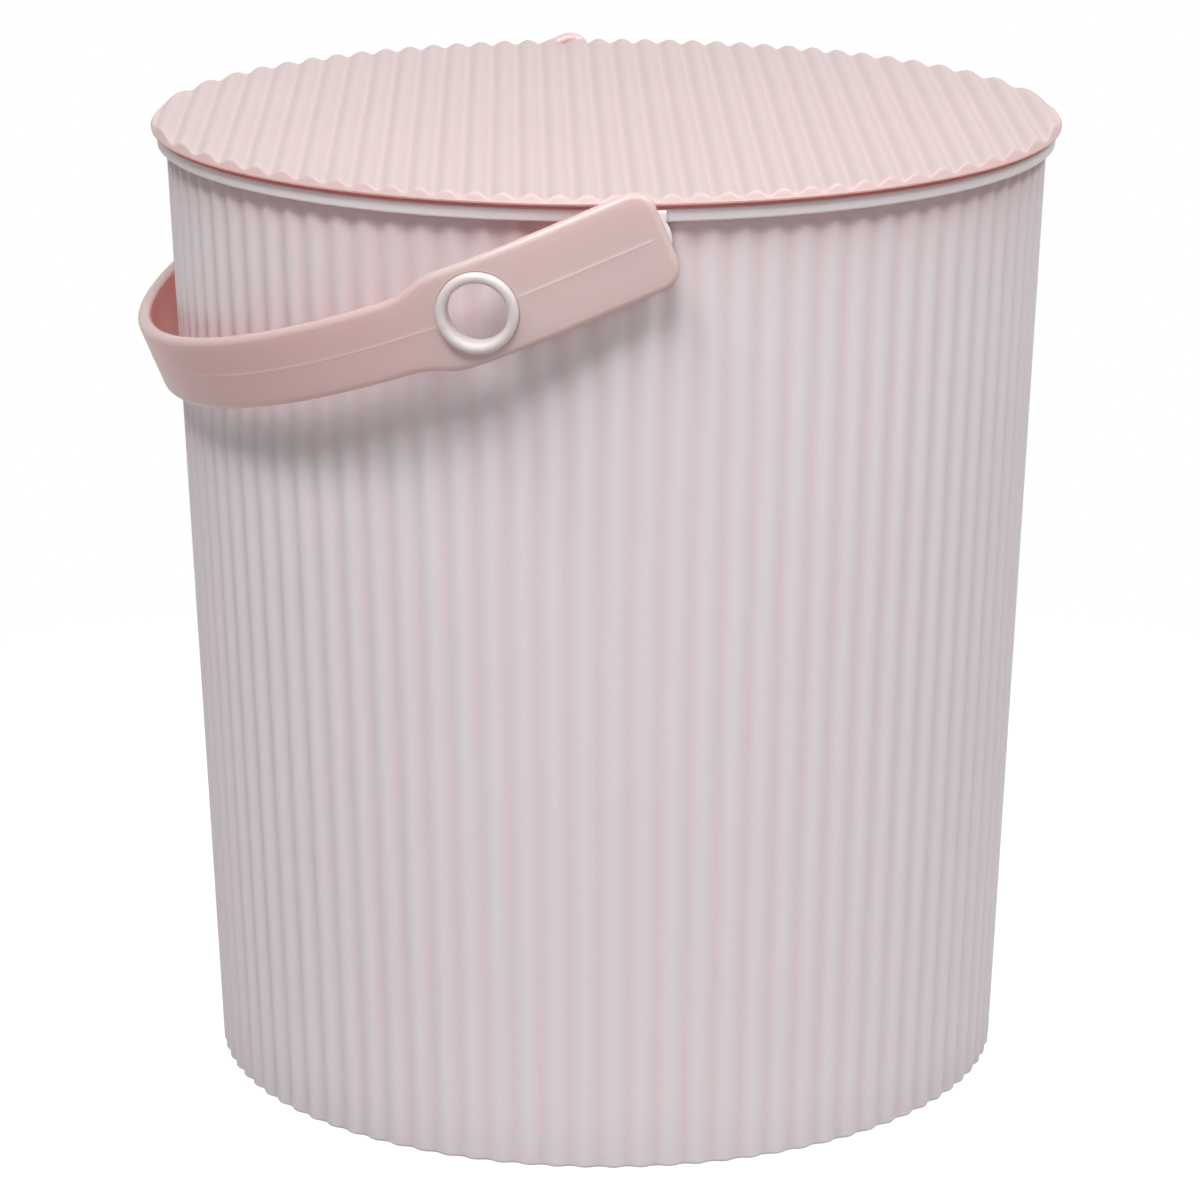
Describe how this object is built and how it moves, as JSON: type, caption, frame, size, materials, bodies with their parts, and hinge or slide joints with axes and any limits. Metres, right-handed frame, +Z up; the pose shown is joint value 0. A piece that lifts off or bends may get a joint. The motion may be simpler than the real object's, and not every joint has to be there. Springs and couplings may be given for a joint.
{
  "type": "lidded plastic bucket",
  "caption": "Round ribbed plastic bucket with a lift-off waved lid and a drop handle on rim ears, for storing, carrying and sitting on.",
  "frame": {"origin": "centre of the foot, on the surface that the bucket stands on", "axes": "+Z up along the bucket's axis; the handle's pivot axis runs along Y, and at rest the handle hangs down on the -X side"},
  "size_m": [0.3212, 0.33, 0.3389],
  "materials": {
    "bucket_polypropylene": "moulded polypropylene, fine satin texture",
    "lid_polypropylene": "moulded polypropylene, fine satin texture",
    "handle_polypropylene": "moulded polypropylene, fine satin texture",
    "eyelet_polypropylene": "moulded polypropylene, smooth satin"
  },
  "bodies": {
    "bucket": {"bucket_body": "bucket_polypropylene"},
    "lid": {"lid": "lid_polypropylene"},
    "handle": {"handle": "handle_polypropylene", "handle_eyelet_front": "eyelet_polypropylene", "handle_eyelet_rear": "eyelet_polypropylene"}
  },
  "joints": [
    {"name": "lid_lift", "type": "slide", "parent": "bucket", "child": "lid", "axis": [0, 0, 1], "range_m": [0, 0.12]},
    {"name": "handle_swing", "type": "hinge", "parent": "bucket", "child": "handle", "pos_m": [0, 0, 0.3224], "axis": [0, 1, 0], "range_deg": [0, 225]}
  ]
}
